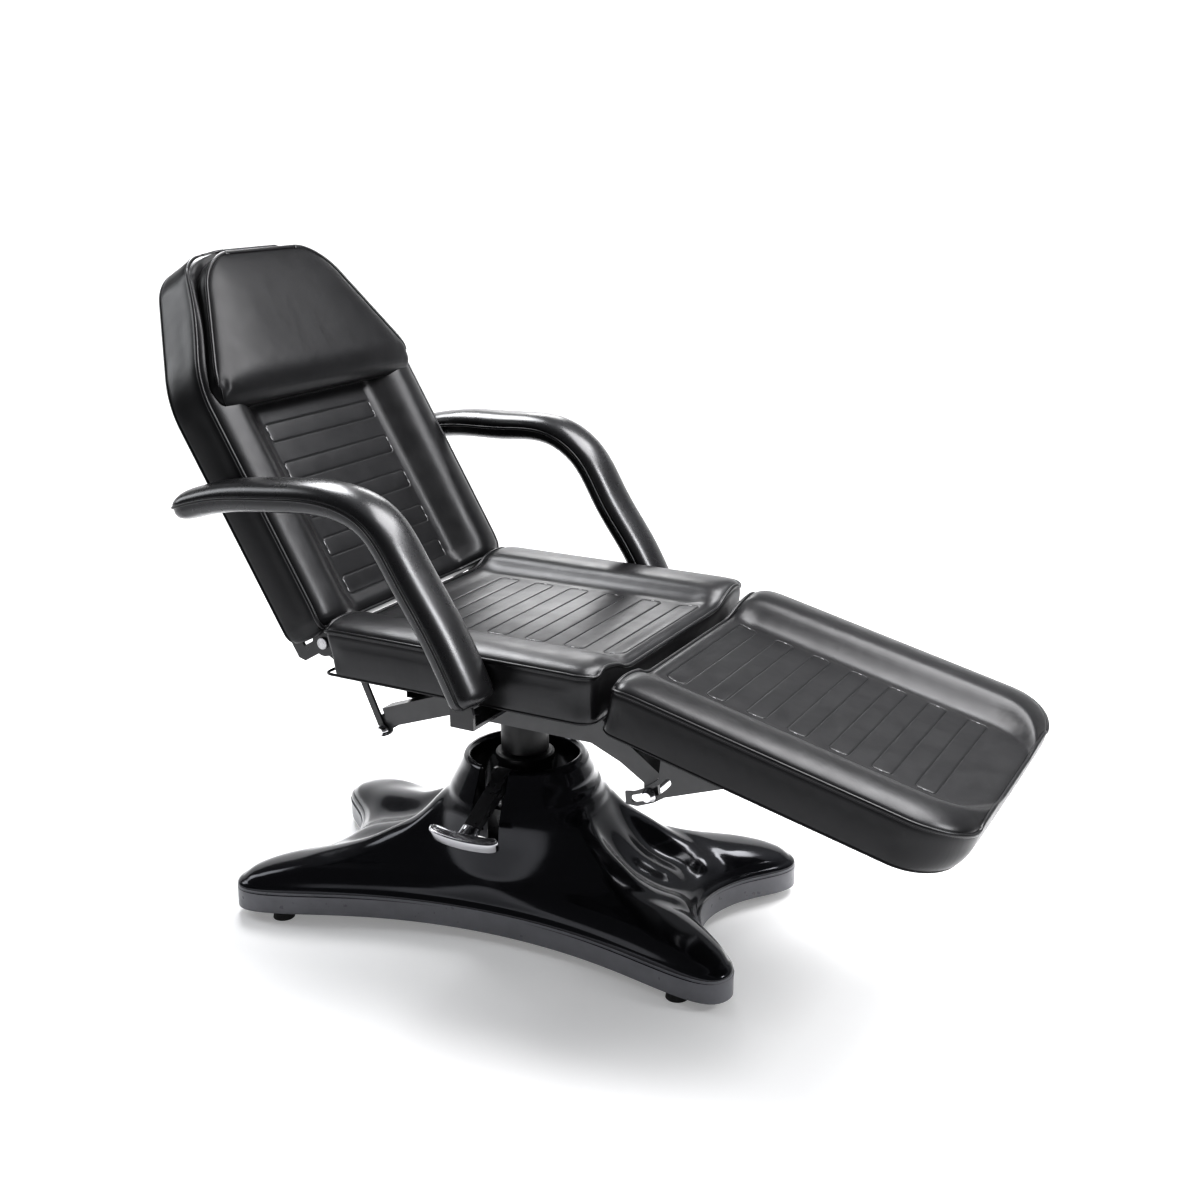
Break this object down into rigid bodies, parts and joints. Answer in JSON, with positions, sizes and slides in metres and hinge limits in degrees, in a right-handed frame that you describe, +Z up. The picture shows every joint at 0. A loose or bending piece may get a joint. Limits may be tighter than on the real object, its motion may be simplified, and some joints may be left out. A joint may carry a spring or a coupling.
{
  "type": "tattoo chair",
  "caption": "Padded tilting tattoo and spa bed with seat, backrest, leg rest, head pillow and curved armrests on a hydraulic swivel column with foot pedal and splayed base.",
  "frame": {"origin": "on the floor under the middle of the overall length and width, in the rest pose of the picture", "axes": "+X towards the foot end of the leg rest, +Y to the side of the left armrest (the far side in the picture), +Z up"},
  "size_m": [1.5397, 0.788, 1.1922],
  "materials": {
    "vinyl": "soft sheen black upholstery vinyl",
    "cover_gloss": "high gloss black moulded plastic",
    "frame_steel": "grey powder coat",
    "pump_black": "satin black enamel",
    "chrome": "polished chrome",
    "zinc_steel": "bright zinc plated steel",
    "plywood": "plywood faced with black lining",
    "rubber": "matt black rubber",
    "black_plastic": "matt black plastic"
  },
  "bodies": {
    "base": {"base_cover": "cover_gloss", "base_frame": "frame_steel", "foot_pads": "rubber", "foot_studs": "zinc_steel", "pump_cylinder": "pump_black", "pump_gland": "zinc_steel", "pump_bolts": "zinc_steel", "pump_block": "pump_black", "pedal_pin": "zinc_steel", "pump_spring": "zinc_steel"},
    "pedal": {"pedal_lever": "pump_black", "pedal_pad": "chrome"},
    "plunger": {"pump_plunger": "zinc_steel"},
    "ram": {"ram_piston": "zinc_steel", "ram_rod": "chrome", "thrust_ring": "zinc_steel"},
    "seat": {"swivel_hub": "pump_black", "hub_bolts": "zinc_steel", "seat_rail_right": "frame_steel", "seat_rail_left": "frame_steel", "rail_plugs": "black_plastic", "seat_cross_tubes": "frame_steel", "front_cross_tube": "frame_steel", "rear_cross_bar": "frame_steel", "rear_tie_rod": "chrome", "front_tie_rod": "chrome", "rear_braces": "pump_black", "hinge_arms": "pump_black", "back_hinge_pins": "zinc_steel", "leg_hinge_pins": "zinc_steel", "seat_board": "plywood", "seat_cushion": "vinyl", "armrest_brackets": "pump_black", "armrest_bolts": "zinc_steel", "armrest_right": "vinyl", "armrest_left": "vinyl"},
    "backrest": {"back_board": "plywood", "back_cushion": "vinyl", "back_uprights": "frame_steel", "back_cross_tubes": "frame_steel", "back_tube_plugs": "black_plastic", "back_hinge_arms": "pump_black", "back_screws": "zinc_steel", "head_pillow": "vinyl"},
    "leg_rest": {"leg_board": "plywood", "leg_cushion": "vinyl", "leg_side_tubes": "frame_steel", "leg_front_cross_tube": "frame_steel", "leg_rear_cross_tube": "frame_steel", "leg_tube_plugs": "black_plastic", "leg_quadrants": "frame_steel", "leg_screws": "zinc_steel"}
  },
  "joints": [
    {"name": "lift", "type": "slide", "parent": "base", "child": "ram", "axis": [0, 0, 1], "range_m": [0, 0.18]},
    {"name": "swivel", "type": "hinge", "parent": "ram", "child": "seat", "pos_m": [-0.119, 0, 0.4], "axis": [0, 0, 1], "continuous": true},
    {"name": "pedal_press", "type": "hinge", "parent": "base", "child": "pedal", "pos_m": [-0.119, -0.07, 0.288], "axis": [1, 0, 0], "range_deg": [0, 16], "stiffness_Nm_per_rad": 15, "springref_deg": -20.05},
    {"name": "plunger_stroke", "type": "slide", "parent": "base", "child": "plunger", "axis": [0, 0, -1], "range_m": [0, 0.0135], "deforming": ["pump_spring"]},
    {"name": "back_recline", "type": "hinge", "parent": "seat", "child": "backrest", "pos_m": [-0.3685, 0, 0.552], "axis": [0, -1, 0], "range_deg": [-12, 59.27]},
    {"name": "leg_raise", "type": "hinge", "parent": "seat", "child": "leg_rest", "pos_m": [0.197, 0, 0.497], "axis": [0, -1, 0], "range_deg": [-20, 13.76]}
  ],
  "couplings": [
    {"joint": "plunger_stroke", "follows": "pedal_press", "m_per_rad": 0.0483}
  ]
}
